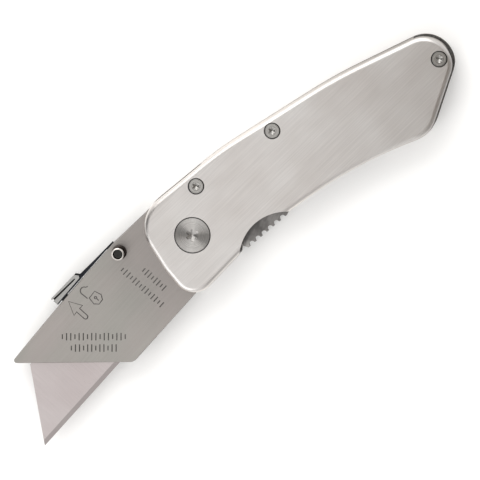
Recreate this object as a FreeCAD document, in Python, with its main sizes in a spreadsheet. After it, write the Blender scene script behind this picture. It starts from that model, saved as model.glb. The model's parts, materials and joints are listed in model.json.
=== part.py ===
import FreeCAD, Part

import math
import os

import Sketcher
from FreeCAD import Placement, Rotation, Vector

# Folding utility knife, open, lying on its rear scale.  Millimetres, +Z up.
#
# Handle frame: x from the pivot towards the butt, y towards the spine of the handle.
# Carrier frame: x from the pivot towards the tip of the blade, y towards its cutting edge.
# Both are drawn with the pivot at (0, 0) and are put in place by each body's Placement.
# The row's origin is on the rest face, at the middle of the handle.

DIMENSIONS = {
    # where the frames stand, and how far the carrier folds
    "pivot_x": -39.0, "pivot_y": -5.0, "open_angle": 198.2, "fold_travel": 159.0,
    # levels of the stack above the rest face
    "rear_scale_top": 2.4, "liner_top": 3.8, "rear_cheek_low": 4.2, "core_low": 6.0,
    "core_top": 6.8, "front_cheek_top": 8.6, "front_scale_low": 9.0, "front_scale_top": 11.6,
    "scale_round": 1.5, "cheek_bevel": 0.2, "head_round": 0.15,
    # screws and pillars of the handle
    "stop_x": 8.1, "stop_y": 11.8, "centre_x": 35.4, "centre_y": 14.8, "butt_x": 87.8, "butt_y": 8.9,
    "pillar_radius": 2.4, "head_sink": 0.1, "thread_play": 0.02, "hole_play": 0.1,
    "small_head_radius": 2.15, "small_head_high": 1.05, "small_bore_radius": 2.4,
    "small_shank_radius": 1.0, "small_shank_long": 3.9,
    "small_drive_radius": 0.85, "small_drive_deep": 0.75,
    # pivot
    "pivot_head_radius": 5.1, "pivot_head_high": 1.25, "pivot_bore_radius": 5.3,
    "pivot_shank_radius": 1.98, "pivot_shank_long": 7.0,
    "pivot_drive_radius": 1.4, "pivot_drive_deep": 1.0,
    "barrel_radius": 3.0, "barrel_hole_radius": 3.05, "washer_radius": 5.8, "washer_play": 0.02,
    # finger notch and lock
    "notch_x": 20.3, "notch_y": -19.4, "notch_radius": 13.7,
    "lock_nose_x": 9.75, "lock_root_x": 57.6, "lock_slot": 0.5, "lock_relief": 1.1,
    "lock_face_play": 0.15, "lock_ledge_y": -0.5,
    "gullet_deep": 1.0, "tooth_tip": 0.6,
    "ball_x": 13.5, "ball_y": -3.5, "ball_radius": 0.8, "ball_stand": 0.3,
    # blade carrier
    "tang_radius": 11.6, "stop_play": 0.05, "shoulder_reach": 15.1,
    "low_corner_round": 2.5, "nose_round": 0.8,
    # thumb stud
    "stud_x": 18.4, "stud_y": -12.4, "stud_shank_radius": 1.4, "stud_hole_radius": 1.45,
    "stud_high": 5.4, "stud_flange_radius": 2.15, "stud_flange_high": 0.5, "stud_waist_radius": 1.5,
    "stud_rim_radius": 1.85, "stud_rim_high": 1.5, "stud_rim_round": 0.3,
    "stud_dish_radius": 1.45, "stud_dish_deep": 1.2,
    # slots and screws of the carrier
    "leaf_slot_radius": 2.7, "latch_slot_half": 2.1, "dimple_radius": 0.55, "dimple_deep": 0.4,
    "clamp_head_radius": 1.3, "clamp_head_high": 0.7, "clamp_bore_radius": 1.4,
    "clamp_shank_radius": 0.8, "clamp_shank_long": 3.0, "clamp_hole_radius": 0.82,
    "clamp_drive_radius": 0.4, "clamp_drive_deep": 0.4,
    "keeper_head_radius": 1.85, "keeper_head_high": 0.8, "keeper_bore_radius": 1.95,
    "keeper_shank_radius": 0.8, "keeper_shank_long": 2.9,
    "keeper_drive_radius": 0.55, "keeper_drive_deep": 0.45,
    # blade
    "blade_long": 61.0, "blade_wide": 19.0, "blade_thick": 0.6, "blade_slant": 15.0,
    "blade_tip_x": 75.8, "blade_edge_y": 9.08, "blade_play": 0.05, "bevel_wide": 1.3,
    "edge_thick": 0.06, "blade_notch_wide": 3.3, "blade_notch_deep": 2.7, "blade_notch_step": 12.0,
    # release lever
    "leaf_wide": 3.6, "tab_wide": 4.2, "slit_deep": 2.8,
    "tooth_thick": 0.7, "tooth_wide": 2.4, "tooth_clear": 0.13, "tooth_round": 0.5,
}

FLAT = 1e-7        # shapes closer than this are taken to touch
OUTSIDE = 100.0    # past every edge of the knife, for the open sides of cuts

doc = FreeCAD.newDocument("FoldingUtilityKnife")
sheet = doc.addObject("Spreadsheet::Sheet", "Dims")
for row, (alias, number) in enumerate(DIMENSIONS.items(), start=1):
    sheet.set("A%d" % row, alias)
    sheet.set("B%d" % row, str(number))
    sheet.setAlias("B%d" % row, alias)
doc.recompute()


def dim(alias):
    return float(sheet.get(alias))


def turned(x, y, degrees):
    """The point (x, y) turned about the pivot."""
    turn = math.radians(degrees)
    return (x * math.cos(turn) - y * math.sin(turn), x * math.sin(turn) + y * math.cos(turn))


# ---------------------------------------------------------------- outlines

def line(start, end):
    return Part.LineSegment(Vector(*start, 0), Vector(*end, 0))


def arc(start, via, end):
    return Part.Arc(Vector(*start, 0), Vector(*via, 0), Vector(*end, 0))


def polygon(*points):
    return [line(a, b) for a, b in zip(points, points[1:] + points[:1])]


def round_corner(before, corner, after, radius):
    """Start, middle and end of the arc that rounds a corner."""
    corner = Vector(*corner, 0)
    back = (Vector(*before, 0) - corner).normalize()
    ahead = (Vector(*after, 0) - corner).normalize()
    half = back.getAngle(ahead) / 2
    reach = radius / math.tan(half)
    middle = corner + (back + ahead).normalize() * (radius / math.sin(half) - radius)
    ends = (corner + back * reach, middle, corner + ahead * reach)
    return [(point.x, point.y) for point in ends]


def rounded(corners):
    """A closed outline through corners given as (x, y, radius)."""
    arcs = []
    for index, (x, y, radius) in enumerate(corners):
        before = corners[index - 1][:2]
        after = corners[(index + 1) % len(corners)][:2]
        arcs.append(round_corner(before, (x, y), after, radius) if radius else [(x, y)])
    outline = []
    for index, points in enumerate(arcs):
        if len(points) == 3:
            outline.append(arc(*points))
        outline.append(line(points[-1], arcs[(index + 1) % len(arcs)][0]))
    return outline


def handle_outline():
    """Outline shared by the scales and the liner, before the finger notch is cut."""
    return rounded([
        (-12.8, 12.3, 10.0),      # front, spine side
        (18.6, 17.6, 96.0),       # the two bends of the spine
        (58.2, 19.4, 148.0),
        (92.1, 17.2, 8.4),        # butt, spine side
        (91.0, 5.55, 7.0),
        (74.7, -8.95, 9.5),       # butt, belly side
        (51.8, -5.6, 138.0),      # hollow of the belly
        (28.65, -7.8, 2.0),       # both ends of the finger notch
        (12.0, -10.75, 1.0),
        (-10.0, -17.25, 6.2),     # front, belly side
        (-12.2, -4.55, 11.8),
    ])


SPINE_FRONT = (64.0, -14.3)
SPINE_CROWN = (40.0, -15.35)
SPINE_REAR = (18.0, -15.5)
SPINE_RADIUS = 900.0
SPINE_TANG = (3.0, -14.3)
LOW_FRONT = (39.6, 12.0)
LOW_REAR = (12.4, 12.0)


def tang_arc(start, end):
    """Arc of the round tang from one point to another, the short way."""
    across = math.hypot(start[0] + end[0], start[1] + end[1])
    scale = dim("tang_radius") / across
    return arc(start, ((start[0] + end[0]) * scale, (start[1] + end[1]) * scale), end)


def shoulder(fold, side):
    """Foot and mouth of the flat that meets the stop pin when the carrier is folded by fold."""
    tang = dim("tang_radius")
    offset = side * (dim("pillar_radius") + dim("stop_play"))
    pin = turned(dim("stop_x"), dim("stop_y"), -dim("open_angle") - fold)
    pin_turn = math.degrees(math.atan2(pin[1], pin[0]))
    foot = turned(math.sqrt(tang ** 2 - offset ** 2), offset, pin_turn)
    mouth = turned(dim("shoulder_reach"), offset, pin_turn)
    return foot, mouth


def carrier_outline():
    """Side profile of the carrier, with the round tang between its two stop shoulders."""
    tang = dim("tang_radius")
    open_foot, open_mouth = shoulder(0, 1)
    closed_foot, closed_mouth = shoulder(dim("fold_travel"), -1)
    # flat that the nose of the lock bar stands behind, and the ledge above it
    face_x = dim("lock_nose_x") - dim("lock_face_play")
    ledge_y = dim("lock_ledge_y")
    face_low = turned(face_x, -math.sqrt(tang ** 2 - face_x ** 2), -dim("open_angle"))
    face_high = turned(face_x, ledge_y, -dim("open_angle"))
    ledge = turned(math.sqrt(tang ** 2 - ledge_y ** 2), ledge_y, -dim("open_angle"))
    low = round_corner(LOW_REAR, LOW_FRONT, SPINE_FRONT, dim("low_corner_round"))
    nose = round_corner(LOW_FRONT, SPINE_FRONT, SPINE_CROWN, dim("nose_round"))
    crown = round_corner(SPINE_FRONT, SPINE_CROWN, SPINE_REAR, SPINE_RADIUS)
    return [
        line(nose[2], crown[0]),
        arc(*crown),
        line(crown[2], SPINE_REAR),
        line(SPINE_REAR, SPINE_TANG),
        line(SPINE_TANG, open_mouth),
        line(open_mouth, open_foot),
        tang_arc(open_foot, ledge),
        line(ledge, face_high),
        line(face_high, face_low),
        tang_arc(face_low, closed_foot),
        line(closed_foot, closed_mouth),
        line(closed_mouth, LOW_REAR),
        line(LOW_REAR, low[0]),
        arc(*low),
        line(low[2], nose[0]),
        arc(*nose),
    ]


# ---------------------------------------------------------------- building blocks

bodies = {}


def new_body(label):
    body = doc.addObject("PartDesign::Body", label)
    body.Label = label
    bodies[label] = body
    return body


def plane(body, role):
    return next(feature for feature in body.Origin.OriginFeatures if feature.Role == role)


def new_sketch(body, level, geometry=(), role="XY_Plane"):
    """A sketch on one of the body's origin planes, raised by the expression level."""
    sketch = body.newObject("Sketcher::SketchObject", body.Label + "_sketch")
    sketch.AttachmentSupport = [(plane(body, role), "")]
    sketch.MapMode = "FlatFace"
    sketch.setExpression("AttachmentOffset.Base.z", level)
    if geometry:
        sketch.addGeometry(list(geometry), False)
    return sketch


def add_circle(sketch, x, y, radius):
    """A circle whose centre and radius follow cells of the sheet, or plain numbers."""
    def value(size):
        return dim(size) if isinstance(size, str) else size
    circle = Part.Circle(Vector(value(x), value(y), 0), Vector(0, 0, 1), value(radius))
    index = sketch.addGeometry(circle, False)
    number = sketch.addConstraint(Sketcher.Constraint("Radius", index, value(radius)))
    if isinstance(radius, str):
        sketch.setExpression("Constraints[%d]" % number, "Dims." + radius)
    for kind, size in (("DistanceX", x), ("DistanceY", y)):
        if isinstance(size, str):
            number = sketch.addConstraint(Sketcher.Constraint(kind, -1, 1, index, 3, value(size)))
            sketch.setExpression("Constraints[%d]" % number, "Dims." + size)


def pad(body, sketch, length, midplane=False):
    feature = body.newObject("PartDesign::Pad", body.Label + "_pad")
    feature.Profile = sketch
    feature.setExpression("Length", length)
    feature.Midplane = midplane
    sketch.Visibility = False
    doc.recompute()
    return feature


def pocket(body, sketch, length, upwards=False, midplane=False):
    """Cut the sketch downwards, or upwards, and make sure that something was cut."""
    before = body.Shape.Volume
    feature = body.newObject("PartDesign::Pocket", body.Label + "_pocket")
    feature.Profile = sketch
    feature.setExpression("Length", length)
    feature.Reversed = upwards
    feature.Midplane = midplane
    doc.recompute()
    if body.Shape.Volume > before - FLAT:
        raise RuntimeError("a pocket cuts nothing in " + body.Label)
    return feature


def edges_at(body, level, keep=lambda edge: True):
    """Names of the edges that lie in the plane z = level and pass the test keep."""
    names = []
    for index, edge in enumerate(body.Shape.Edges, start=1):
        box = edge.BoundBox
        if max(abs(box.ZMin - level), abs(box.ZMax - level)) < FLAT and keep(edge):
            names.append("Edge%d" % index)
    return names


def round_edges(body, names, size, kind="Fillet"):
    base = body.Tip
    feature = body.newObject("PartDesign::" + kind, body.Label + "_" + kind.lower())
    feature.Base = (base, names)
    feature.setExpression("Radius" if kind == "Fillet" else "Size", size)
    doc.recompute()
    return feature


LOBE_SHARE = 0.36      # of the drive's radius
HOLLOW_SHARE = 0.86


def drive_outline(radius):
    """Six round lobes joined by six hollows; radius is that of the circle the lobes stand on."""
    lobe = radius * LOBE_SHARE
    tips = [turned(radius + lobe, 0, 60 * index) for index in range(6)]
    ends = [(turned(radius, lobe, 60 * index), turned(radius, -lobe, 60 * index))
            for index in range(6)]
    outline = []
    for index in range(6):
        outline.append(arc(ends[index][1], tips[index], ends[index][0]))
        hollow = turned(radius * HOLLOW_SHARE, 0, 60 * index + 30)
        outline.append(arc(ends[index][0], hollow, ends[(index + 1) % 6][1]))
    return outline


def screw(label, kind):
    """A flush screw along -Z with the top of its head at z = 0 and a six-lobe drive."""
    body = new_body(label)
    head = new_sketch(body, "-Dims.%s_head_high" % kind)
    add_circle(head, 0.0, 0.0, kind + "_head_radius")
    pad(body, head, "Dims.%s_head_high" % kind)
    round_edges(body, edges_at(body, 0), "Dims.head_round")
    shank = new_sketch(body, "-Dims.%s_head_high - Dims.%s_shank_long" % (kind, kind))
    add_circle(shank, 0.0, 0.0, kind + "_shank_radius")
    pad(body, shank, "Dims.%s_shank_long" % kind)
    drive = new_sketch(body, "0", drive_outline(dim(kind + "_drive_radius")))
    pocket(body, drive, "Dims.%s_drive_deep" % kind)
    return body


def group(label, pattern, places, underside=False):
    """Copies of one screw as separate solids in one sub-part."""
    facing = Rotation(Vector(1, 0, 0), 180 if underside else 0)
    copies = []
    for x, y, z in places:
        copy = pattern.Shape.copy()
        copy.Placement = Placement(Vector(x, y, z), facing)
        copies.append(copy)
    feature = doc.addObject("Part::Feature", label)
    feature.Label = label
    feature.Shape = Part.makeCompound(copies)
    bodies[label] = feature
    return feature


def put(body, x, y, z, degrees=0.0):
    body.Placement = Placement(Vector(x, y, z), Rotation(Vector(0, 0, 1), degrees))


def put_on_handle(body):
    put(body, dim("pivot_x"), dim("pivot_y"), 0)


def put_on_carrier(body):
    put(body, dim("pivot_x"), dim("pivot_y"), 0, dim("open_angle"))


# ---------------------------------------------------------------- handle

LOCK_NOSE_TOP = -1.2
LOCK_ROOT_TOP = -0.6
PILLARS = {"stop_pin": "stop", "centre_pillar": "centre", "butt_pillar": "butt"}
SMALL_BORE = "Dims.head_sink + Dims.small_head_high"
PIVOT_BORE = "Dims.head_sink + Dims.pivot_head_high"


def shank_hole_radius():
    return dim("small_shank_radius") + dim("hole_play")


def cut_finger_notch(body, top, thick):
    notch = new_sketch(body, top)
    add_circle(notch, "notch_x", "notch_y", "notch_radius")
    pocket(body, notch, thick)


def scale(label, low, top, outer, upwards):
    """An outer plate: rounded edge on its outer face, finger notch, and stepped screw holes."""
    body = new_body(label)
    thick = "%s - %s" % (top, low)
    pad(body, new_sketch(body, low, handle_outline()), thick)
    face = dim(outer) if outer else 0.0
    outer = "Dims." + outer if outer else "0"
    round_edges(body, edges_at(body, face), "Dims.scale_round")
    cut_finger_notch(body, top, thick)
    for radius, depth in (("pivot_bore_radius", PIVOT_BORE), ("barrel_hole_radius", thick)):
        hole = new_sketch(body, outer)
        add_circle(hole, 0.0, 0.0, radius)
        pocket(body, hole, depth, upwards)
    for radius, depth in (("small_bore_radius", SMALL_BORE), (shank_hole_radius(), thick)):
        holes = new_sketch(body, outer)
        for name in PILLARS.values():
            add_circle(holes, name + "_x", name + "_y", radius)
        pocket(body, holes, depth, upwards)
    put_on_handle(body)
    return body


def make_front_scale():
    scale("front_scale", "Dims.front_scale_low", "Dims.front_scale_top", "front_scale_top", False)


def make_rear_scale():
    body = scale("rear_scale", "0", "Dims.rear_scale_top", None, True)
    slot = dim("lock_slot")
    front = dim("lock_nose_x") - 2 * slot
    back = dim("lock_root_x") + slot
    relief = polygon((front, LOCK_NOSE_TOP + 2 * slot), (front, -OUTSIDE), (back, -OUTSIDE),
                     (back, LOCK_ROOT_TOP + 2 * slot))
    pocket(body, new_sketch(body, "Dims.rear_scale_top", relief), "Dims.lock_relief")


def make_lock_liner():
    body = new_body("lock_liner")
    thick = "Dims.liner_top - Dims.rear_scale_top"
    pad(body, new_sketch(body, "Dims.rear_scale_top", handle_outline()), thick)
    cut_finger_notch(body, "Dims.liner_top", thick)
    slot = dim("lock_slot")
    front = dim("lock_nose_x") - slot
    back = dim("lock_root_x") + dim("hole_play")
    window = polygon((front, LOCK_NOSE_TOP + slot), (front, -OUTSIDE), (back, -OUTSIDE),
                     (back, LOCK_ROOT_TOP + slot))
    pocket(body, new_sketch(body, "Dims.liner_top", window), thick)
    holes = new_sketch(body, "Dims.liner_top")
    add_circle(holes, 0.0, 0.0, "barrel_hole_radius")
    for name in PILLARS.values():
        add_circle(holes, name + "_x", name + "_y", shank_hole_radius())
    pocket(body, holes, thick)
    put_on_handle(body)


BACK_STRIP_INSIDE = ((12.0, 14.9), (48.0, 17.3), (84.0, 16.0))


def make_back_strip():
    """Strip that closes the spine between liner and front scale, notched round the centre pillar."""
    body = new_body("back_strip")
    thick = "Dims.front_scale_low - Dims.liner_top"
    pad(body, new_sketch(body, "Dims.liner_top", handle_outline()), thick)
    start, middle, end = BACK_STRIP_INSIDE
    rest = [
        arc(start, middle, end),
        line(end, (end[0], OUTSIDE)),
        line((end[0], OUTSIDE), (OUTSIDE, OUTSIDE)),
        line((OUTSIDE, OUTSIDE), (OUTSIDE, -OUTSIDE)),
        line((OUTSIDE, -OUTSIDE), (-OUTSIDE, -OUTSIDE)),
        line((-OUTSIDE, -OUTSIDE), (-OUTSIDE, OUTSIDE)),
        line((-OUTSIDE, OUTSIDE), (start[0], OUTSIDE)),
        line((start[0], OUTSIDE), start),
    ]
    pocket(body, new_sketch(body, "Dims.front_scale_low", rest), thick)
    notch = new_sketch(body, "Dims.front_scale_low")
    add_circle(notch, "centre_x", "centre_y", dim("pillar_radius") + dim("stop_play"))
    pocket(body, notch, thick)
    put_on_handle(body)


def make_pillars():
    """The stop pin and the two spacers between the liner and the front scale."""
    for label, name in PILLARS.items():
        solids = {}
        for part, radius in (("post", "pillar_radius"), ("bore", "small_shank_radius")):
            cylinder = doc.addObject("Part::Cylinder", "%s_%s" % (label, part))
            play = " + Dims.thread_play" if part == "bore" else ""
            cylinder.setExpression("Radius", "Dims." + radius + play)
            cylinder.setExpression("Height", "Dims.front_scale_low - Dims.liner_top")
            cylinder.setExpression("Placement.Base.x", "Dims.pivot_x + Dims.%s_x" % name)
            cylinder.setExpression("Placement.Base.y", "Dims.pivot_y + Dims.%s_y" % name)
            cylinder.setExpression("Placement.Base.z", "Dims.liner_top")
            solids[part] = cylinder
        pillar = doc.addObject("Part::Cut", label)
        pillar.Label = label
        pillar.Base = solids["post"]
        pillar.Tool = solids["bore"]
        bodies[label] = pillar


def make_handle_screws():
    pattern = screw("small_screw", "small")
    places = [(dim("pivot_x") + dim(name + "_x"), dim("pivot_y") + dim(name + "_y"))
              for name in PILLARS.values()]
    front = dim("front_scale_top") - dim("head_sink")
    group("front_scale_screws", pattern, [(x, y, front) for x, y in places])
    group("rear_scale_screws", pattern, [(x, y, dim("head_sink")) for x, y in places], True)


def make_pivot():
    pin = screw("pivot_screw", "pivot")
    put(pin, dim("pivot_x"), dim("pivot_y"), dim("front_scale_top") - dim("head_sink"))

    barrel = new_body("pivot_barrel")
    head = new_sketch(barrel, "Dims.head_sink")
    add_circle(head, 0.0, 0.0, "pivot_head_radius")
    pad(barrel, head, "Dims.pivot_head_high")
    round_edges(barrel, edges_at(barrel, dim("head_sink")), "Dims.head_round")
    sleeve = new_sketch(barrel, "Dims.head_sink + Dims.pivot_head_high")
    add_circle(sleeve, 0.0, 0.0, "barrel_radius")
    sleeve_long = "Dims.front_scale_top - 2 * (%s) - Dims.stop_play" % PIVOT_BORE
    pad(barrel, sleeve, sleeve_long)
    bore = new_sketch(barrel, "Dims.front_scale_top - Dims.head_sink - Dims.pivot_head_high")
    add_circle(bore, 0.0, 0.0, dim("pivot_shank_radius") + dim("thread_play"))
    pocket(barrel, bore, "Dims.pivot_shank_long + Dims.hole_play")
    drive = new_sketch(barrel, "Dims.head_sink", drive_outline(dim("pivot_drive_radius")))
    pocket(barrel, drive, "Dims.pivot_drive_deep", upwards=True)
    put_on_handle(barrel)

    for label, low in (("rear_pivot_washer", "liner_top"), ("front_pivot_washer", "front_cheek_top")):
        washer = new_body(label)
        ring = new_sketch(washer, "Dims.%s + Dims.washer_play" % low)
        add_circle(ring, 0.0, 0.0, "washer_radius")
        add_circle(ring, 0.0, 0.0, "barrel_hole_radius")
        pad(washer, ring, "Dims.rear_cheek_low - Dims.liner_top - 2 * Dims.washer_play")
        put_on_handle(washer)


# ---------------------------------------------------------------- lock

FIRST_TOOTH = (11.7, -11.6)
LAST_TOOTH = (25.5, -9.0)
TOOTH_COUNT = 7
NOSE_LOW = -5.8
HEEL = (10.3, -6.6)
HEEL_BEVEL = 1.2
BELLY_FRONT = (27.8, -7.7)
BELLY_MIDDLE = (42.0, -6.4)
ROOT_LOW = -6.5


def toothed_edge():
    """Flat-topped teeth with round gullets between them, from the first tooth to the last."""
    first = Vector(*FIRST_TOOTH, 0)
    step = (Vector(*LAST_TOOTH, 0) - first) * (1.0 / (TOOTH_COUNT - 1))
    along = Vector(step).normalize()
    inwards = Vector(-along.y, along.x, 0)
    half_tip = along * (dim("tooth_tip") / 2)
    edge = []
    for index in range(TOOTH_COUNT):
        tip = first + step * index
        edge.append(Part.LineSegment(tip - half_tip, tip + half_tip))
        if index < TOOTH_COUNT - 1:
            bottom = tip + step * 0.5 + inwards * dim("gullet_deep")
            edge.append(Part.Arc(tip + half_tip, bottom, tip + step - half_tip))
    return edge


def make_lock_bar():
    body = new_body("lock_bar")
    teeth = toothed_edge()
    nose_x = dim("lock_nose_x")
    root_x = dim("lock_root_x")
    start = (teeth[0].StartPoint.x, teeth[0].StartPoint.y)
    end = (teeth[-1].EndPoint.x, teeth[-1].EndPoint.y)
    bevel = (HEEL[0], start[1] + HEEL_BEVEL)
    outline = teeth + [
        line(end, BELLY_FRONT),
        arc(BELLY_FRONT, BELLY_MIDDLE, (root_x, ROOT_LOW)),
        line((root_x, ROOT_LOW), (root_x, LOCK_ROOT_TOP)),
        line((root_x, LOCK_ROOT_TOP), (nose_x, LOCK_NOSE_TOP)),
        line((nose_x, LOCK_NOSE_TOP), (nose_x, NOSE_LOW)),
        line((nose_x, NOSE_LOW), HEEL),
        line(HEEL, bevel),
        line(bevel, start),
    ]
    thick = "Dims.liner_top - Dims.rear_scale_top"
    pad(body, new_sketch(body, "Dims.rear_scale_top", outline), thick)
    seat = new_sketch(body, "Dims.liner_top")
    add_circle(seat, "ball_x", "ball_y", "ball_radius")
    pocket(body, seat, thick)
    put_on_handle(body)


def make_detent_ball():
    ball = doc.addObject("Part::Sphere", "detent_ball")
    ball.Label = "detent_ball"
    ball.setExpression("Radius", "Dims.ball_radius")
    ball.setExpression("Placement.Base.x", "Dims.pivot_x + Dims.ball_x")
    ball.setExpression("Placement.Base.y", "Dims.pivot_y + Dims.ball_y")
    ball.setExpression("Placement.Base.z", "Dims.liner_top + Dims.ball_stand - Dims.ball_radius")
    bodies["detent_ball"] = ball


# ---------------------------------------------------------------- blade carrier

CLAMP_PLACES = ((56.0, -12.3), (46.5, -12.6), (29.5, -12.8), (36.0, 10.55), (17.0, 10.55))
CLAMP_BORE = "Dims.head_sink + Dims.clamp_head_high"


def latch_x():
    """Middle of the blade notch that the catch drops into."""
    return dim("blade_tip_x") - (dim("blade_long") + dim("blade_notch_step")) / 2


def carrier_plate(label, low, top, bevel_face=None):
    """A plate with the carrier's profile and the hole of the pivot."""
    body = new_body(label)
    thick = "%s - %s" % (top, low)
    pad(body, new_sketch(body, low, carrier_outline()), thick)
    if bevel_face is not None:
        seen = edges_at(body, bevel_face, lambda edge: edge.BoundBox.XMin > SPINE_TANG[0] - FLAT)
        round_edges(body, seen, "Dims.cheek_bevel", "Chamfer")
    hole = new_sketch(body, top)
    add_circle(hole, 0.0, 0.0, "barrel_hole_radius")
    pocket(body, hole, thick)
    put_on_carrier(body)
    return body


def clamp_holes(body, level, length, radius, upwards=False, places=CLAMP_PLACES):
    holes = new_sketch(body, level)
    for x, y in places:
        add_circle(holes, x, y, radius)
    pocket(body, holes, length, upwards)


def stud_hole(body, level, length, radius, upwards=False):
    hole = new_sketch(body, level)
    add_circle(hole, "stud_x", "stud_y", radius)
    pocket(body, hole, length, upwards)


def make_front_cheek():
    thick = "Dims.front_cheek_top - Dims.core_top"
    body = carrier_plate("front_cheek", "Dims.core_top", "Dims.front_cheek_top",
                         dim("front_cheek_top"))
    stud_hole(body, "Dims.front_cheek_top", thick, "stud_hole_radius")
    reach = "Dims.rear_cheek_low + %s + Dims.clamp_shank_long + Dims.hole_play - Dims.core_top"
    clamp_holes(body, "Dims.core_top", reach % CLAMP_BORE, "clamp_hole_radius", upwards=True)


def make_rear_cheek():
    thick = "Dims.core_low - Dims.rear_cheek_low"
    body = carrier_plate("rear_cheek", "Dims.rear_cheek_low", "Dims.core_low",
                         dim("rear_cheek_low"))
    low = "Dims.rear_cheek_low"
    clamp_holes(body, low, thick, "clamp_hole_radius", upwards=True)
    clamp_holes(body, low, CLAMP_BORE, "clamp_bore_radius", upwards=True)
    stud_hole(body, low, thick, "clamp_hole_radius", upwards=True)
    stud_hole(body, low, "Dims.head_sink + Dims.keeper_head_high", "keeper_bore_radius", upwards=True)
    ball = turned(dim("ball_x"), dim("ball_y"), -dim("open_angle") - dim("fold_travel"))
    dimple = new_sketch(body, low)
    add_circle(dimple, ball[0], ball[1], "dimple_radius")
    pocket(body, dimple, "Dims.dimple_deep", upwards=True)


def make_carrier_core():
    """Tang, lower rail and rear stretch of the spine rail, with the room for blade and catch."""
    thick = "Dims.core_top - Dims.core_low"
    body = carrier_plate("carrier_core", "Dims.core_low", "Dims.core_top")
    play = dim("blade_play")
    edge = dim("blade_edge_y") + play
    back = dim("blade_edge_y") - dim("blade_wide") - play
    rear = dim("blade_tip_x") - dim("blade_long") - 2 * play
    latch = latch_x() - dim("latch_slot_half")
    channel = polygon((rear, edge), (rear + dim("blade_slant"), back), (latch, back),
                      (latch, -OUTSIDE), (OUTSIDE, -OUTSIDE), (OUTSIDE, edge))
    pocket(body, new_sketch(body, "Dims.core_top", channel), thick)
    centre = (dim("stud_x"), dim("stud_y"))
    radius = dim("leaf_slot_radius")
    left = (centre[0] - radius, centre[1])
    right = (centre[0] + radius, centre[1])
    slot = [
        arc(left, (centre[0], centre[1] + radius), right),
        line(right, (right[0], -OUTSIDE)),
        line((right[0], -OUTSIDE), (left[0], -OUTSIDE)),
        line((left[0], -OUTSIDE), left),
    ]
    pocket(body, new_sketch(body, "Dims.core_top", slot), thick)
    clamp_holes(body, "Dims.core_top", thick, "clamp_hole_radius", places=CLAMP_PLACES[2:])


def make_nose_spacer():
    """Front stretch of the spine rail, in front of the latch slot."""
    thick = "Dims.core_top - Dims.core_low"
    body = new_body("nose_spacer")
    pad(body, new_sketch(body, "Dims.core_low", carrier_outline()), thick)
    back = dim("blade_edge_y") - dim("blade_wide") - dim("blade_play")
    latch = latch_x() + dim("latch_slot_half")
    rest = polygon((-OUTSIDE, -OUTSIDE), (latch, -OUTSIDE), (latch, back), (OUTSIDE, back),
                   (OUTSIDE, OUTSIDE), (-OUTSIDE, OUTSIDE))
    pocket(body, new_sketch(body, "Dims.core_top", rest), thick)
    clamp_holes(body, "Dims.core_top", thick, "clamp_hole_radius", places=CLAMP_PLACES[:2])
    put_on_carrier(body)


def make_carrier_screws():
    pattern = screw("clamp_screw", "clamp")
    level = dim("rear_cheek_low") + dim("head_sink")
    places = [turned(x, y, dim("open_angle")) for x, y in CLAMP_PLACES]
    group("carrier_screws", pattern,
          [(dim("pivot_x") + x, dim("pivot_y") + y, level) for x, y in places], True)


def stud_profile():
    """Half section of the stud: bored shank, flange, hollow waist, and a rim round a dished top."""
    bore = dim("clamp_hole_radius")
    bore_top = dim("rear_cheek_low") + dim("head_sink") + dim("keeper_head_high")
    bore_top += dim("keeper_shank_long") + dim("hole_play")
    low = dim("core_low")
    face = dim("front_cheek_top")
    top = face + dim("stud_high")
    shank = dim("stud_shank_radius")
    flange = (dim("stud_flange_radius"), face + dim("stud_flange_high"))
    rim = (dim("stud_rim_radius"), top - dim("stud_rim_high"))
    waist = (dim("stud_waist_radius"), (flange[1] + rim[1]) / 2)
    rounding = dim("stud_rim_round")
    dish = dim("stud_dish_radius")
    bottom = top - dim("stud_dish_deep")
    return [
        line((bore, low), (shank, low)),
        line((shank, low), (shank, face)),
        line((shank, face), (flange[0], face)),
        line((flange[0], face), flange),
        arc(flange, waist, rim),
        line(rim, (rim[0], top - rounding)),
        line((rim[0], top - rounding), (rim[0] - rounding, top)),
        line((rim[0] - rounding, top), (dish, top)),
        line((dish, top), (dish - rounding, bottom)),
        line((dish - rounding, bottom), (0.0, bottom)),
        line((0.0, bottom), (0.0, bore_top)),
        line((0.0, bore_top), (bore, bore_top)),
        line((bore, bore_top), (bore, low)),
    ]


def make_thumb_stud():
    body = new_body("thumb_stud")
    sketch = new_sketch(body, "0", stud_profile(), "XZ_Plane")
    turn = body.newObject("PartDesign::Revolution", "thumb_stud_turn")
    turn.Profile = sketch
    turn.ReferenceAxis = (sketch, ["V_Axis"])
    turn.Angle = 360.0
    doc.recompute()
    x, y = turned(dim("stud_x"), dim("stud_y"), dim("open_angle"))
    put(body, dim("pivot_x") + x, dim("pivot_y") + y, 0)

    keeper = screw("stud_screw", "keeper")
    keeper.Placement = Placement(
        Vector(dim("pivot_x") + x, dim("pivot_y") + y, dim("rear_cheek_low") + dim("head_sink")),
        Rotation(Vector(1, 0, 0), 180))


# ---------------------------------------------------------------- blade

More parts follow.
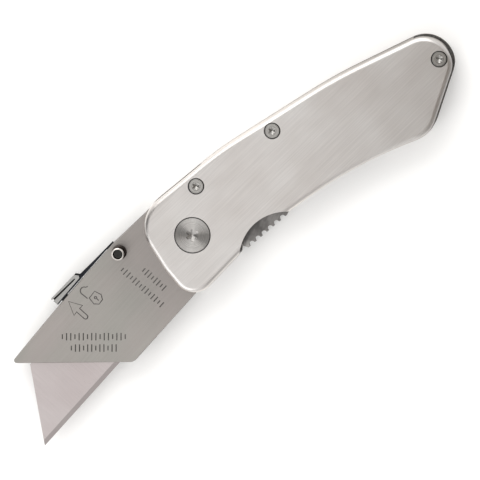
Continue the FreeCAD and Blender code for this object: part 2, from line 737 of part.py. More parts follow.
def make_blade():
    """Trapezoid blade with two notches in its back and a ground cutting edge."""
    body = new_body("blade")
    edge = dim("blade_edge_y")
    back = edge - dim("blade_wide")
    tip = dim("blade_tip_x")
    rear = tip - dim("blade_long")
    slant = dim("blade_slant")
    radius = dim("blade_notch_wide") / 2
    shoulder_y = back + dim("blade_notch_deep") - radius
    outline = [line((rear, edge), (tip, edge)), line((tip, edge), (tip - slant, back))]
    start = (tip - slant, back)
    for centre in (latch_x() + dim("blade_notch_step"), latch_x()):
        mouth = (centre + radius, back)
        near = (centre + radius, shoulder_y)
        far = (centre - radius, shoulder_y)
        leave = (centre - radius, back)
        outline.append(line(start, mouth))
        outline.append(line(mouth, near))
        outline.append(arc(near, (centre, shoulder_y + radius), far))
        outline.append(line(far, leave))
        start = leave
    outline.append(line(start, (rear + slant, back)))
    outline.append(line((rear + slant, back), (rear, edge)))
    low = "(Dims.core_low + Dims.core_top - Dims.blade_thick) / 2"
    pad(body, new_sketch(body, low, outline), "Dims.blade_thick")
    middle = (dim("core_low") + dim("core_top")) / 2
    half = dim("blade_thick") / 2
    for side in (1, -1):
        face = middle + side * half
        lip = middle + side * dim("edge_thick") / 2
        wedge = polygon((edge - dim("bevel_wide"), face), (edge + 1, face), (edge + 1, lip),
                        (edge, lip))
        ground = new_sketch(body, "0", wedge, "YZ_Plane")
        pocket(body, ground, "4 * Dims.blade_long", midplane=True)
    put_on_carrier(body)


# ---------------------------------------------------------------- release lever

STRIP = (
    (17.8, -15.65), (42.0, -15.45), (42.0, -15.8), (31.9, -16.05),
    (31.5, -16.65), (24.1, -16.2), (17.9, -15.95),
)
TAB = (
    (31.5, -16.65), (32.2, -17.75),                    # rear end
    (42.1, -18.1), (42.0, -15.8), (31.9, -16.05),      # front end, along the strip
)
SLIT = ((33.0, -17.05), (33.0, -16.65), (42.5, -17.15), (42.5, -17.7))
RING_WALL_PLAY = 0.3
ROOT_FRONT = (20.4, -15.9)
ROOT_REAR = (17.9, -15.9)
TONGUE_TOP = -16.6
TONGUE_LOW = -14.0


def middle_of(size):
    return "(Dims.core_low + Dims.core_top - Dims.%s) / 2" % size


def make_release_leaf():
    """Ring round the stud's shank, inside the core, and the strip along the spine."""
    body = new_body("release_leaf")
    x = dim("stud_x")
    y = dim("stud_y")
    ring = dim("leaf_slot_radius") - RING_WALL_PLAY
    root = [
        arc((x - ring, y), (x, y + ring), (x + ring, y)),
        line((x + ring, y), ROOT_FRONT),
        line(ROOT_FRONT, ROOT_REAR),
        line(ROOT_REAR, (x - ring, y)),
    ]
    pad(body, new_sketch(body, middle_of("tooth_thick"), root), "Dims.tooth_thick")
    pad(body, new_sketch(body, middle_of("leaf_wide"), polygon(*STRIP)), "Dims.leaf_wide")
    stud_hole(body, "Dims.core_top", "Dims.core_top - Dims.core_low", "stud_hole_radius")
    cut_seat(body)
    put_on_carrier(body)


def tongue_outline(low):
    half = dim("tooth_wide") / 2
    return polygon((latch_x() - half, low), (latch_x() + half, low),
                   (latch_x() + half, TONGUE_TOP), (latch_x() - half, TONGUE_TOP))


def cut_seat(body):
    """Room for the tongue of the catch tooth."""
    seat = new_sketch(body, middle_of("tooth_thick"), tongue_outline(TONGUE_LOW))
    pocket(body, seat, "Dims.tooth_thick", upwards=True)


def make_release_tab():
    """Finger tab: a thin plate folded up beside a wedge, with the seat of the catch tooth."""
    body = new_body("release_tab")
    pad(body, new_sketch(body, middle_of("tab_wide"), polygon(*TAB)), "Dims.tab_wide")
    slit = new_sketch(body, middle_of("tab_wide") + " + Dims.tab_wide", polygon(*SLIT))
    pocket(body, slit, "Dims.slit_deep")
    cut_seat(body)
    put_on_carrier(body)


def make_catch_tooth():
    body = new_body("catch_tooth")
    low = dim("blade_edge_y") - dim("blade_wide") - dim("tooth_clear")
    half = dim("tooth_wide") / 2
    corner = dim("tooth_round")
    outline = rounded([
        (latch_x() - half, low, corner), (latch_x() + half, low, corner),
        (latch_x() + half, TONGUE_TOP, 0), (latch_x() - half, TONGUE_TOP, 0)])
    pad(body, new_sketch(body, middle_of("tooth_thick"), outline), "Dims.tooth_thick")
    put_on_carrier(body)


# ---------------------------------------------------------------- build, check and write

PATTERNS = ("small_screw", "clamp_screw")

make_front_scale()
make_rear_scale()
make_lock_liner()
make_back_strip()
make_pillars()
make_handle_screws()
make_pivot()
make_lock_bar()
make_detent_ball()
make_front_cheek()
make_rear_cheek()
make_carrier_core()
make_nose_spacer()
make_carrier_screws()
make_thumb_stud()
make_blade()
make_release_leaf()
make_release_tab()
make_catch_tooth()
doc.recompute()

for feature in doc.Objects:
    if "Invalid" in feature.State or "Error" in feature.State:
        raise RuntimeError("%s is %s" % (feature.Name, feature.State))

os.makedirs("parts", exist_ok=True)
for label, body in bodies.items():
    if label in PATTERNS:
        continue
    shape = body.Shape
    if shape.isNull() or not shape.isValid() or not shape.Solids:
        raise RuntimeError(label + " has no valid solid")
    shape.exportStep("parts/%s.step" % label)
    box = shape.BoundBox
    print("%-22s %8.1f mm3  %d solid(s)  z %.2f to %.2f"
          % (label, shape.Volume, len(shape.Solids), box.ZMin, box.ZMax))
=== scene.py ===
import json
import math

import bmesh
import bpy
from mathutils import Matrix, Vector


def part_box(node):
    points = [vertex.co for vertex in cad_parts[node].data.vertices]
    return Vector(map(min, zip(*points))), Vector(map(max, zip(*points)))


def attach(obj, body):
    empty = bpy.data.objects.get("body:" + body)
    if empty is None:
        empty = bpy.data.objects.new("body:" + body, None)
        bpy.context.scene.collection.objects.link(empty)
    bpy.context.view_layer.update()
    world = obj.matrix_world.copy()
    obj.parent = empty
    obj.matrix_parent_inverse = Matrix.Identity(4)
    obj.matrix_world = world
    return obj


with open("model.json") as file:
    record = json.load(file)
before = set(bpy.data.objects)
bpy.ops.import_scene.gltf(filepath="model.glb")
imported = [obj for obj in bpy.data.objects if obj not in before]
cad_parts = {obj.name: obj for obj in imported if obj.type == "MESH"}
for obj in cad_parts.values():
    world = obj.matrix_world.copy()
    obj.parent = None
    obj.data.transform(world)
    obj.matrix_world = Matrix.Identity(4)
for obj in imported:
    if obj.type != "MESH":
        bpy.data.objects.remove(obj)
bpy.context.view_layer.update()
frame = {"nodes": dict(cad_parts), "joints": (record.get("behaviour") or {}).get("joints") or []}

# Looks of a folding utility knife that lies open on its rear scale.
# Metres, +Z up. The handle points along +X from the pivot, and the carrier about along -X.

MM = 0.001
SCENE = bpy.context.scene
NODES = frame["nodes"]


# ---------------------------------------------------------------- places on the knife

def middle(node):
    low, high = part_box(node)
    return (low + high) / 2


def bottom_of(node):
    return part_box(node)[0].z


def top_of(node):
    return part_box(node)[1].z


def on_plane(degrees):
    """The direction on the table that is so many degrees from +X."""
    turn = math.radians(degrees)
    return Vector((math.cos(turn), math.sin(turn), 0))


PIVOT = middle("pivot_screw")

# Carrier frame, as in the CAD: x from the pivot towards the tip, y towards the cutting edge.
SLIDE = next(joint for joint in frame["joints"] if joint["name"] == "blade_slide")
ALONG = Vector(SLIDE["axis"]).normalized()
ACROSS = Vector((-ALONG.y, ALONG.x, 0))
CARRIER_WAY = math.degrees(math.atan2(ALONG.y, ALONG.x))

BUTT_WAY = -30             # the way the butt faces, degrees from +X
FIRST_TOOTH = PIVOT + Vector((11.7, -11.4, 0)) * MM     # of the lock bar's thumb edge
SMALL_HOLE = 2.43 * MM     # radius of the holes that the scale screws' heads sit in
PIVOT_HOLE = 5.33 * MM     # and of the pivot screw's


def on_carrier(x, y, z):
    """The point at a carrier-frame place in millimetres and at the height z in metres."""
    spot = PIVOT + (ALONG * x + ACROSS * y) * MM
    return Vector((spot.x, spot.y, z))


# ---------------------------------------------------------------- camera

HANDLE_TURN = 29.9         # the handle points this far above the picture's right
LEAN = math.radians(8.5)   # of the camera off the vertical
LEAN_TOWARDS = 25.4        # direction on the table that it leans to, degrees from +X
AIM = (11.33, -8.03)       # of the view's centre from the pivot, millimetres
VIEW_WIDTH = 138.8 * MM
DISTANCE = 3000 * MM
SENSOR = 36                # width in millimetres; the lens is worked out from it


def make_camera():
    towards = on_plane(LEAN_TOWARDS)
    back = towards * math.sin(LEAN) + Vector((0, 0, math.cos(LEAN)))
    fore = towards * math.cos(LEAN) - Vector((0, 0, math.sin(LEAN)))
    side = on_plane(LEAN_TOWARDS + 90)
    in_picture = math.radians(LEAN_TOWARDS + HANDLE_TURN)
    right = fore * math.cos(in_picture) - side * math.sin(in_picture)
    up = fore * math.sin(in_picture) + side * math.cos(in_picture)
    aim = PIVOT + Vector((*AIM, 0)) * MM
    aim.z = top_of("pivot_screw")

    data = bpy.data.cameras.new("camera")
    data.sensor_width = SENSOR
    data.lens = SENSOR * DISTANCE / VIEW_WIDTH
    data.clip_start = 0.01
    data.clip_end = 20
    camera = bpy.data.objects.new("camera", data)
    camera.matrix_world = (Matrix.Translation(aim + back * DISTANCE)
                           @ Matrix((right, up, back)).transposed().to_4x4())
    SCENE.collection.objects.link(camera)
    SCENE.camera = camera


# ---------------------------------------------------------------- studio

FLOOR_RADIUS = 2.5
FLOOR_GAP = 0.05 * MM      # below the knife, so that the two faces don't flicker


def new_material(name):
    material = bpy.data.materials.new(name)
    material.use_nodes = True
    return material, material.node_tree


def matt(name, tone, roughness):
    """Plain card or paper, for what isn't part of the knife."""
    material, tree = new_material(name)
    shader = tree.nodes["Principled BSDF"]
    shader.inputs["Base Color"].default_value = (*tone, 1)
    shader.inputs["Roughness"].default_value = roughness
    return material


def hang(thing, over, picture_angle, lean, reach):
    """Puts a lamp or card at reach metres from a place and turns it to face that place.

    picture_angle is the direction as seen in the picture, and lean is off the vertical; both
    are in degrees.
    """
    tilt = math.radians(lean)
    out = on_plane(picture_angle - HANDLE_TURN) * math.sin(tilt) + Vector((0, 0, math.cos(tilt)))
    thing.location = over + out * reach
    thing.rotation_mode = "QUATERNION"
    thing.rotation_quaternion = out.to_track_quat("Z", "Y")
    thing.visible_camera = False
    SCENE.collection.objects.link(thing)


def soft_box(name, size, brightness, over, picture_angle, lean, reach, colour=(1, 1, 1)):
    """A square lamp, whose face is as bright whatever its size."""
    data = bpy.data.lights.new(name, "AREA")
    data.shape = "SQUARE"
    data.size = size
    data.energy = brightness * math.pi * size ** 2
    data.color = colour
    hang(bpy.data.objects.new(name, data), over, picture_angle, lean, reach)


def flag(name, high, wide, tone, over, picture_angle, lean, reach):
    """A card that darkens one side of the reflections; the camera looks through it."""
    mesh = bpy.data.meshes.new(name)
    build = bmesh.new()
    bmesh.ops.create_grid(build, x_segments=1, y_segments=1, size=0.5,
                          matrix=Matrix.Diagonal((wide, high, 1, 1)))
    build.to_mesh(mesh)
    build.free()
    mesh.materials.append(matt(name, tone, 1.0))
    card = bpy.data.objects.new(name, mesh)
    card.visible_diffuse = False
    card.visible_shadow = False
    hang(card, over, picture_angle, lean, reach)


def make_world():
    SCENE.view_settings.view_transform = "Standard"
    world = bpy.data.worlds.new("studio")
    world.use_nodes = True
    background = world.node_tree.nodes["Background"]
    background.inputs["Color"].default_value = (1.0, 0.985, 0.965, 1)
    background.inputs["Strength"].default_value = 1.0
    SCENE.world = world


def make_floor():
    mesh = bpy.data.meshes.new("floor")
    build = bmesh.new()
    bmesh.ops.create_circle(build, cap_ends=True, segments=96, radius=FLOOR_RADIUS)
    build.to_mesh(mesh)
    build.free()
    mesh.materials.append(matt("floor_paper", (0.92, 0.92, 0.92), 0.9))
    floor = bpy.data.objects.new("floor", mesh)
    floor.location = (0, 0, -FLOOR_GAP)
    SCENE.collection.objects.link(floor)


def make_studio():
    """Two large soft boxes, a small one over the handle, and flags that shade the steel."""
    make_world()
    handle = PIVOT + Vector((30, 0, 0)) * MM
    butt = middle("front_scale")
    butt.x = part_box("front_scale")[1].x
    soft_box("upper_box", size=1.0, brightness=1.9, colour=(1.0, 0.99, 0.97),
             over=PIVOT, picture_angle=110, lean=58, reach=0.95)
    soft_box("lower_box", size=0.8, brightness=1.4,
             over=PIVOT, picture_angle=235, lean=52, reach=0.95)
    soft_box("near_box", size=0.1, brightness=0.45,
             over=handle, picture_angle=235, lean=math.degrees(LEAN), reach=0.3)
    flag("right_flag", high=0.8, wide=0.8, tone=(0.3, 0.29, 0.28),
         over=PIVOT, picture_angle=-15, lean=62, reach=0.6)
    flag("left_flag", high=0.7, wide=0.3, tone=(0.02, 0.02, 0.02),
         over=PIVOT, picture_angle=178, lean=55, reach=0.6)
    flag("butt_flag", high=0.16, wide=0.16, tone=(0.2, 0.17, 0.14),
         over=butt, picture_angle=-20, lean=16, reach=0.2)
    make_floor()


# ---------------------------------------------------------------- shader building blocks

WHITE = (1.0, 1.0, 1.0)


def add(tree, kind, inputs=None, **settings):
    """A shader node; each input is set to a number or linked from another node's socket."""
    made = tree.nodes.new("ShaderNode" + kind)
    for key, value in settings.items():
        setattr(made, key, value)
    for key, value in (inputs or {}).items():
        if isinstance(value, bpy.types.NodeSocket):
            tree.links.new(value, made.inputs[key])
        else:
            made.inputs[key].default_value = value
    return made


def grain(tree, direction, long, wide, detail=3.0):
    """Noise drawn out along a direction on the table: streaks long by wide, in millimetres."""
    turned = add(tree, "Mapping", {
        "Vector": object_place(tree),
        "Rotation": (0, 0, math.radians(direction)),
    }, vector_type="TEXTURE")
    stretched = add(tree, "Mapping", {
        "Vector": turned.outputs[0],
        "Scale": (1 / (long * MM), 1 / (wide * MM), 1 / (wide * MM)),
    })
    return add(tree, "TexNoise", {
        "Vector": stretched.outputs[0], "Scale": 1.0, "Detail": detail, "Roughness": 0.6,
    }).outputs["Fac"]


def span(tree, value, low, high, start=0.0, end=1.0):
    """Maps value from start..end to low..high, held at both ends."""
    return add(tree, "MapRange", {
        "Value": value, "From Min": start, "From Max": end, "To Min": low, "To Max": high,
    }).outputs[0]


def calculate(tree, operation, first, second=0.0):
    return add(tree, "Math", {0: first, 1: second}, operation=operation).outputs[0]


def object_place(tree):
    """Where the surface is, in metres in the shared frame."""
    return add(tree, "TexCoord").outputs["Object"]


def facing(tree, direction):
    """How far the surface faces a direction: 1 fully, 0 when it runs along it."""
    normal = add(tree, "TexCoord").outputs["Normal"]
    return add(tree, "VectorMath", {
        0: normal, 1: direction,
    }, operation="DOT_PRODUCT").outputs["Value"]


def blend(tree, factor, first, second, way="MIX"):
    """Colours mixed or multiplied; a colour is a tuple of three numbers or a socket."""
    def colour(value):
        return (*value, 1) if isinstance(value, tuple) else value
    return add(tree, "Mix", {0: factor, 6: colour(first), 7: colour(second)},
               data_type="RGBA", blend_type=way).outputs[2]


def times(tree, colour, factor):
    """A colour multiplied by another colour or by a number's socket."""
    return blend(tree, 1.0, colour, factor, "MULTIPLY")


def level_face(tree, start=0.5, end=0.95):
    """1 where the surface faces up or down, 0 on the walls round it."""
    upward = facing(tree, (0, 0, 1))
    return span(tree, calculate(tree, "ABSOLUTE", upward), 0, 1, start, end)


def worn_edge(tree, radius):
    """1 along edges that hands and pockets wear, broken up so that it looks worn."""
    soft = add(tree, "Bevel", {"Radius": radius * MM}, samples=4).outputs[0]
    sharp = add(tree, "NewGeometry").outputs["Normal"]
    turn = add(tree, "VectorMath", {0: soft, 1: sharp}, operation="DOT_PRODUCT").outputs["Value"]
    patches = span(tree, grain(tree, 0, 2.5, 2.5), 0.55, 1.0, 0.35, 0.6)
    return calculate(tree, "MULTIPLY", span(tree, turn, 1, 0, 0.8, 0.985), patches)


def nearest(tree, places):
    """Distance on the table, in metres, to the nearest of some places."""
    flat = add(tree, "VectorMath", {
        0: object_place(tree), 1: (1, 1, 0),
    }, operation="MULTIPLY").outputs[0]
    least = None
    for place in places:
        reach = add(tree, "VectorMath", {
            0: flat, 1: (place.x, place.y, 0),
        }, operation="DISTANCE").outputs["Value"]
        least = reach if least is None else calculate(tree, "MINIMUM", least, reach)
    return least


def sunk(tree, top, depth, dark):
    """1 at the height top, falling to dark at depth millimetres from it, up or down."""
    level = add(tree, "SeparateXYZ", {0: object_place(tree)}).outputs[2]
    below = calculate(tree, "ABSOLUTE", calculate(tree, "SUBTRACT", level, top))
    return span(tree, below, 1.0, dark, 0.25 * depth * MM, depth * MM)


def tool_rings(tree, places, pitch):
    """Uneven rings round each place, as a lathe leaves them, pitch millimetres apart."""
    turns = calculate(tree, "DIVIDE", nearest(tree, places), pitch * MM)
    return add(tree, "TexNoise", {
        "W": turns, "Scale": 1.0, "Detail": 2.0, "Roughness": 0.7,
    }, noise_dimensions="1D").outputs["Fac"]


WELD = 0.001 * MM          # corners of neighbouring faces nearer than this are one point


def loose_centres(node):
    """Middles of the separate solids in a node, such as the screws of one group."""
    mesh = bmesh.new()
    mesh.from_mesh(NODES[node].data)
    bmesh.ops.remove_doubles(mesh, verts=mesh.verts, dist=WELD)
    waiting = set(mesh.verts)
    centres = []
    while waiting:
        front = [waiting.pop()]
        solid = list(front)
        while front:
            for edge in front.pop().link_edges:
                for vert in edge.verts:
                    if vert in waiting:
                        waiting.remove(vert)
                        front.append(vert)
                        solid.append(vert)
        low = Vector([min(vert.co[axis] for vert in solid) for axis in range(3)])
        high = Vector([max(vert.co[axis] for vert in solid) for axis in range(3)])
        centres.append((low + high) / 2)
    mesh.free()
    return centres


# ---------------------------------------------------------------- metals

BUMP_STRENGTH = 0.35


def metal(tree, colour, glancing, roughness, height, bump, anisotropic=0.0):
    """Joins colour, roughness and bump height to the tree's shader, set to bare metal.

    glancing is the tint that the metal keeps when it is seen edge on, and bump is the depth
    of its scratches in millimetres.
    """
    shader = tree.nodes["Principled BSDF"]
    shader.inputs["Metallic"].default_value = 1.0
    shader.inputs["Anisotropic"].default_value = anisotropic
    tree.links.new(colour, shader.inputs["Base Color"])
    tree.links.new(glancing, shader.inputs["Specular Tint"])
    tree.links.new(roughness, shader.inputs["Roughness"])
    bumped = add(tree, "Bump", {
        "Height": height, "Strength": BUMP_STRENGTH, "Distance": bump * MM,
    })
    tree.links.new(bumped.outputs[0], shader.inputs["Normal"])
    return shader


def brushed(name, dark, light, direction, rough, wall, worn, streak=(16, 0.35), fine=(3, 0.06),
            patch=(22, 16), bump=0.02, face=(0.5, 0.95), wear=0.35, contrast=0.06,
            tint=None, wall_shading=None):
    """Rolled or ground metal: patches, streaks along the grain, walls in painted shade and worn
    edges.

    The faces run from dark to light in patches. Streaks of a little contrast and fine hairs
    follow direction, in degrees from +X; patch, streak and fine are each a length and a width
    in millimetres. face says how level a surface must be to count as a face and not a wall,
    and wear is the radius of the worn edges. The wall colour is painted shade: it darkens the
    walls' glancing reflection and, on most metals, their colour. The last two arguments, given
    the tree, return sockets of painted light and shade that multiply the faces or the walls.
    """
    material, tree = new_material(name)
    patches = grain(tree, direction, *patch, detail=2.0)
    streaks = grain(tree, direction, *streak)
    hairs = grain(tree, direction, *fine)
    edge = worn_edge(tree, wear)
    flat = level_face(tree, *face)
    colour = blend(tree, span(tree, patches, 0, 1, 0.32, 0.68), dark, light)
    shade = span(tree, streaks, 1 - contrast, 1 + contrast / 2, 0.3, 0.7)
    colour = times(tree, colour, shade)
    # Painted light and shade on the faces and on the walls, from the last two arguments.
    if tint:
        colour = times(tree, colour, tint(tree))
    if wall_shading:
        wall = times(tree, wall, wall_shading(tree))
    # Painted shade: walls take the darker wall colour, in their colour and their glancing
    # reflection.
    glancing = blend(tree, flat, wall, WHITE)
    colour = blend(tree, flat, wall, colour)
    colour = blend(tree, edge, colour, worn)
    roughness = span(tree, hairs, rough - 0.06, rough + 0.07, 0.3, 0.7)
    polish = calculate(tree, "MULTIPLY", edge, 0.08)
    roughness = calculate(tree, "SUBTRACT", roughness, polish)
    metal(tree, colour, glancing, roughness, hairs, bump)
    return material


FACE_UP = ("pivot_screw", "front_scale_screws")
RECESS_SHADE = (0.06, 0.058, 0.055)     # walls of a drive and of a head, painted near black as shade
RUBBED_RIM = (0.62, 0.6, 0.58)
RING_PITCH = 0.22                 # of a lathe's rings, millimetres
DRIVE_DEEP = 0.7                  # of a drive's bottom under the face, millimetres
DRIVE_CONE = 0.5                  # slope of the drill's cone at the bottom of a drive


def drilled(tree, shader, places, face):
    """Tilts the bottom of each drive towards its axis, as the cone of a drill does."""
    bottom = span(tree, sunk(tree, face, DRIVE_DEEP, 0.0), 1, 0)
    reach = calculate(tree, "DIVIDE", nearest(tree, places), MM)
    cone = add(tree, "Bump", {
        "Height": calculate(tree, "MULTIPLY", reach, bottom), "Strength": 1.0,
        "Distance": DRIVE_CONE * MM, "Normal": shader.inputs["Normal"].links[0].from_socket,
    })
    tree.links.new(cone.outputs[0], shader.inputs["Normal"])


def ring_sheen(tree, shader):
    """Turns the sheen round the axis, so that it fans out from the middle of the head."""
    shader.inputs["Anisotropic Rotation"].default_value = 0.25
    tangent = add(tree, "Tangent", direction_type="RADIAL", axis="Z")
    tree.links.new(tangent.outputs[0], shader.inputs["Tangent"])


def turned_steel(node, dark, light, rough, fanned):
    """Turned steel with rings round each screw's axis, a drilled drive and sides painted dark as
    shade.

    fanned is for one head in the middle of its node, whose sheen fans out from its axis.
    """
    material, tree = new_material("turned_" + node)
    face = top_of(node) if node in FACE_UP else bottom_of(node)
    centres = loose_centres(node)
    rings = tool_rings(tree, centres, RING_PITCH)
    specks = grain(tree, 0, 0.5, 0.5)
    flat = level_face(tree, 0.6, 0.97)
    colour = blend(tree, span(tree, rings, 0, 1, 0.3, 0.7), dark, light)
    colour = times(tree, colour, span(tree, specks, 0.9, 1.04, 0.35, 0.65))
    # Painted shade: the drive darker towards its bottom.
    colour = times(tree, colour, sunk(tree, face, DRIVE_DEEP, 0.95))
    # Painted shade: walls of the drive and of the head near black, in colour and in glancing
    # reflection.
    glancing = blend(tree, flat, RECESS_SHADE, WHITE)
    colour = blend(tree, flat, RECESS_SHADE, colour)
    colour = blend(tree, worn_edge(tree, 0.12), colour, RUBBED_RIM)
    roughness = span(tree, rings, rough - 0.05, rough + 0.08, 0.3, 0.7)
    roughness = calculate(tree, "MULTIPLY", roughness, sunk(tree, face, DRIVE_DEEP, 0.7))
    shader = metal(tree, colour, glancing, roughness, rings, 0.015, 1.0 if fanned else 0.0)
    drilled(tree, shader, centres, face)
    if fanned:
        ring_sheen(tree, shader)
    return material


def pivot_steel(node):
    return turned_steel(node, (0.34, 0.33, 0.32), (0.58, 0.565, 0.55), 0.46, fanned=True)


def small_screw_steel(node):
    return turned_steel(node, (0.16, 0.155, 0.15), (0.5, 0.49, 0.47), 0.3, fanned=False)


def outside(tree, places, radius):
    """1 further than radius metres from the places, and painted dark as shade within it."""
    return span(tree, nearest(tree, places), 0.08, 1.0, radius, radius + 0.03 * MM)


def hole_shade(tree):
    """1 on the plates, and painted dark as shade inside the holes that the screw heads sit in."""
    screws = outside(tree, loose_centres("front_scale_screws"), SMALL_HOLE)
    return calculate(tree, "MULTIPLY", screws, outside(tree, [PIVOT], PIVOT_HOLE))


def wall_light_and_shade(tree):
    """Walls brightened with painted light from the pivot onwards, and painted dark as shade where
    they face the butt.
    """
    along = add(tree, "SeparateXYZ", {0: object_place(tree)}).outputs[0]
    # Painted light: brightest up to 30 mm past the pivot, fading to none by 80 mm.
    pivot_glow = span(tree, along, 1.7, 1.0, PIVOT.x + 30 * MM, PIVOT.x + 80 * MM)
    # Painted shade on the walls that face the butt.
    butt_facing_shade = span(tree, facing(tree, on_plane(BUTT_WAY)), 1.0, 0.14, 0.6, 0.85)
    return calculate(tree, "MULTIPLY", calculate(tree, "MULTIPLY", pivot_glow, butt_facing_shade), hole_shade(tree))


def handle_shadow_near_pivot(tree):
    """Faces painted darker close to the pivot, as the shadow that the handle casts on the cheek.
    """
    return span(tree, nearest(tree, [PIVOT]), 0.8, 1.0, 14 * MM, 34 * MM)


def scale_steel():
    return brushed("satin_scale", (0.53, 0.505, 0.49), (0.6, 0.585, 0.575), 14, 0.34,
                   wall=(0.5, 0.48, 0.46), worn=(0.7, 0.68, 0.66), face=(0.3, 0.8), wear=0.2,
                   contrast=0.09, tint=hole_shade, wall_shading=wall_light_and_shade)


def first_tooth_highlight(tree):
    """The first tooth is painted brighter than the rest, as a highlight that it catches."""
    return span(tree, nearest(tree, [FIRST_TOOTH]), 2.4, 0.9, 0.7 * MM, 2.0 * MM)


def liner_steel():
    return brushed("dark_liner", (0.15, 0.146, 0.142), (0.3, 0.29, 0.285), 35, 0.42,
                   wall=(0.1, 0.095, 0.09), worn=(0.34, 0.33, 0.32), streak=(3, 0.5),
                   patch=(4, 3), contrast=0.2, tint=first_tooth_highlight)


def carrier_steel():
    return brushed("ground_carrier", (0.315, 0.32, 0.295), (0.365, 0.338, 0.324), CARRIER_WAY,
                   0.36, wall=(0.2, 0.19, 0.18), worn=(0.7, 0.68, 0.66), fine=(2, 0.08),
                   wear=0.15, patch=(34, 24), contrast=0.05, tint=handle_shadow_near_pivot)


def blade_steel():
    """The bevel leans a little, so it counts as a wall and takes the wall colour's painted shade,
    darker than the face.
    """
    return brushed("ground_blade", (0.495, 0.445, 0.445), (0.54, 0.495, 0.495), CARRIER_WAY + 90,
                   0.33, wall=(0.235, 0.215, 0.21), worn=(0.7, 0.68, 0.67), streak=(9, 0.25),
                   face=(0.97, 0.99), wear=0.08)


def stud_dish_shade(tree):
    """Only the rim of the stud keeps the steel's bright tone; the dish and the waist are painted
    dark as shade.
    """
    return sunk(tree, top_of("thumb_stud"), 0.5, 0.04)


def stud_side_shade(tree):
    """The side of the stud, painted darker below its rim as shade towards its base."""
    return sunk(tree, top_of("thumb_stud"), 0.8, 0.2)


def stud_steel():
    # Bright steel whose dish, waist and sides are painted dark as shade.
    return brushed("stud_with_painted_shade", (0.6, 0.58, 0.56), (0.85, 0.83, 0.8), 0, 0.2,
                   wall=(0.5, 0.45, 0.42), worn=(0.3, 0.28, 0.26), streak=(0.6, 0.3),
                   fine=(0.6, 0.1), wear=0.08, contrast=0.2, tint=stud_dish_shade, wall_shading=stud_side_shade)


def slit_shade(tree):
    """The slit in the tab, painted dark as shade towards its bottom."""
    return sunk(tree, top_of("release_tab"), 1.2, 0.04)


def slit_wall_shade(tree):
    """1 on the walls that a finger reaches, painted dark as shade on those inside the slit of the
    tab.
    """
    towards_finger = (ALONG * 0.7 - ACROSS).normalized()
    return span(tree, facing(tree, towards_finger), 0.05, 1.0, 0.2, 0.5)


def spring_steel():
    return brushed("spring", (0.32, 0.32, 0.31), (0.44, 0.435, 0.43), CARRIER_WAY, 0.3,
                   wall=(0.36, 0.355, 0.35), worn=(0.3, 0.29, 0.28), streak=(5, 0.2), wear=0.05,
                   tint=slit_shade, wall_shading=slit_wall_shade)


def leaf_dark_as_gap_shade():
    # Painted shade: the leaf is coloured near black, standing in for the shade in the gap beside
    # the spine.
    return brushed("leaf_in_painted_shade", (0.012, 0.013, 0.016), (0.03, 0.032, 0.038), CARRIER_WAY, 0.35,
                   wall=(0.02, 0.02, 0.022), worn=(0.09, 0.09, 0.09), streak=(5, 0.2), wear=0.06)


def pin_steel():
    return brushed("ground_pin", (0.5, 0.49, 0.48), (0.62, 0.61, 0.6), 90, 0.25,
                   wall=(0.4, 0.39, 0.38), worn=(0.7, 0.69, 0.68), streak=(1, 0.15))


def washer_bronze():
    return brushed("phosphor_bronze", (0.46, 0.29, 0.14), (0.62, 0.42, 0.22), 20, 0.38,
                   wall=(0.4, 0.26, 0.13), worn=(0.72, 0.55, 0.34), streak=(2, 0.3))


def make_materials():
    """Gives each CAD node the look of its material slot."""
    looks = {
        "scale_steel": scale_steel(),
        "carrier_steel": carrier_steel(),
        "liner_steel": liner_steel(),
        "pin_steel": pin_steel(),
        "stud_steel": stud_steel(),
        "blade_steel": blade_steel(),
        "spring_steel": spring_steel(),
        "washer_bronze": washer_bronze(),
    }
    for node, thing in NODES.items():
        slot = thing.data.materials[0].name.split(".")[0]
        if node in ("pivot_screw", "pivot_barrel"):
            look = pivot_steel(node)
        elif slot == "screw_steel":
            look = small_screw_steel(node)
        elif node == "release_leaf":
            look = leaf_dark_as_gap_shade()
        else:
            look = looks[slot]
        thing.data.materials.clear()
        thing.data.materials.append(look)


# ---------------------------------------------------------------- marks on the cheek

LINE_WIDE = 0.46       # of the rod whose top shows as an etched line, millimetres
LINE_PROUD = 0.07      # of that rod's top above the cheek


def etched_steel():
    return brushed("etched_line", (0.08, 0.077, 0.073), (0.15, 0.145, 0.14), CARRIER_WAY, 0.5,
                   wall=(0.1, 0.096, 0.092), worn=(0.24, 0.23, 0.22), streak=(0.6, 0.2), wear=0.04)


def etch(name, look, strokes):
    """Etched lines: each stroke is a list of carrier-frame points and whether it closes."""
    curve = bpy.data.curves.new(name, "CURVE")
    curve.dimensions = "3D"
    curve.bevel_depth = LINE_WIDE / 2 * MM
    curve.bevel_resolution = 2
    curve.use_fill_caps = True
    height = top_of("front_cheek") + (LINE_PROUD - LINE_WIDE / 2) * MM
    for points, closed in strokes:
        spline = curve.splines.new("POLY")
        spline.points.add(len(points) - 1)
        for point, (x, y) in zip(spline.points, points):
            point.co = (*on_carrier(x, y, height), 1)
        spline.use_cyclic_u = closed
    mark = bpy.data.objects.new(name, curve)
    SCENE.collection.objects.link(mark)
    curve.materials.append(look)
    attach(mark, "carrier")


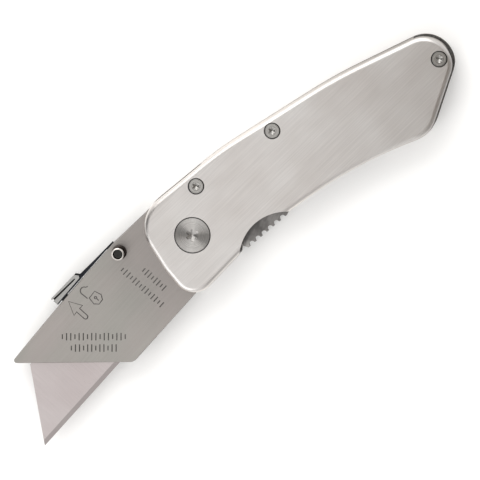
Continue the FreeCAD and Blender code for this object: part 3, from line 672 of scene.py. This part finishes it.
def bow(centre, radius, start, end, steps=10):
    """Points of an arc in the carrier frame, from one angle to another in degrees."""
    points = []
    for index in range(steps + 1):
        turn = math.radians(start + (end - start) * index / steps)
        points.append((centre[0] + radius * math.cos(turn), centre[1] + radius * math.sin(turn)))
    return points


def etch_arrow(look):
    """An arrow that points at the catch, with a rounded tail."""
    tail = bow((39.16, -7.2), 0.66, 0, 180)
    outline = [(39.14, -13.83), (41.13, -9.94), (39.82, -10.05)] + tail
    outline += [(38.5, -10.05), (37.28, -10.05)]
    etch("mark_arrow", look, [(outline, True)])


def etch_padlock(look):
    """An open padlock: a raised shackle over a rounded body with a keyhole."""
    shackle = [(32.05, -12.6)] + bow((33.75, -12.5), 1.15, 200, 360, 8) + [(34.75, -10.3)]
    body = [(34.31, -10.02), (31.77, -10.19), (31.26, -8.15), (32.05, -6.88), (33.71, -6.73),
            (34.7, -7.9)]
    keyhole = bow((33.0, -8.75), 0.34, 0, 330, 8)
    keyslot = [(33.0, -8.4), (33.0, -7.5)]
    etch("mark_padlock", look, [(shackle, False), (body, True), (keyhole, True), (keyslot, False)])


def etch_row(name, look, start, end, rise, count):
    """A row of plain strokes from start to end, every third one shorter.

    rise is the vector from one end of a full stroke to the other.
    """
    strokes = []
    for index in range(count):
        share = index / (count - 1)
        x = start[0] + (end[0] - start[0]) * share
        y = start[1] + (end[1] - start[1]) * share
        half = 0.5 if index % 3 else 0.32
        strokes.append(([(x - rise[0] * half, y - rise[1] * half),
                         (x + rise[0] * half, y + rise[1] * half)], False))
    etch(name, look, strokes)


def make_marks():
    look = etched_steel()
    slanted = (1.63, 1.43)
    etch_arrow(look)
    etch_padlock(look)
    etch_row("mark_row_rear", look, (17.5, -3.7), (17.5, 4.2), (2.0, 0.0), 8)
    etch_row("mark_row_next", look, (21.6, -8.4), (21.6, 6.9), (1.9, 0.0), 14)
    etch_row("mark_row_wide", look, (48.07, -8.33), (35.73, 5.22), slanted, 16)
    etch_row("mark_row_front", look, (48.79, -4.18), (40.01, 5.46), slanted, 12)


# ---------------------------------------------------------------- the whole scene

make_marks()
make_camera()
make_studio()
make_materials()
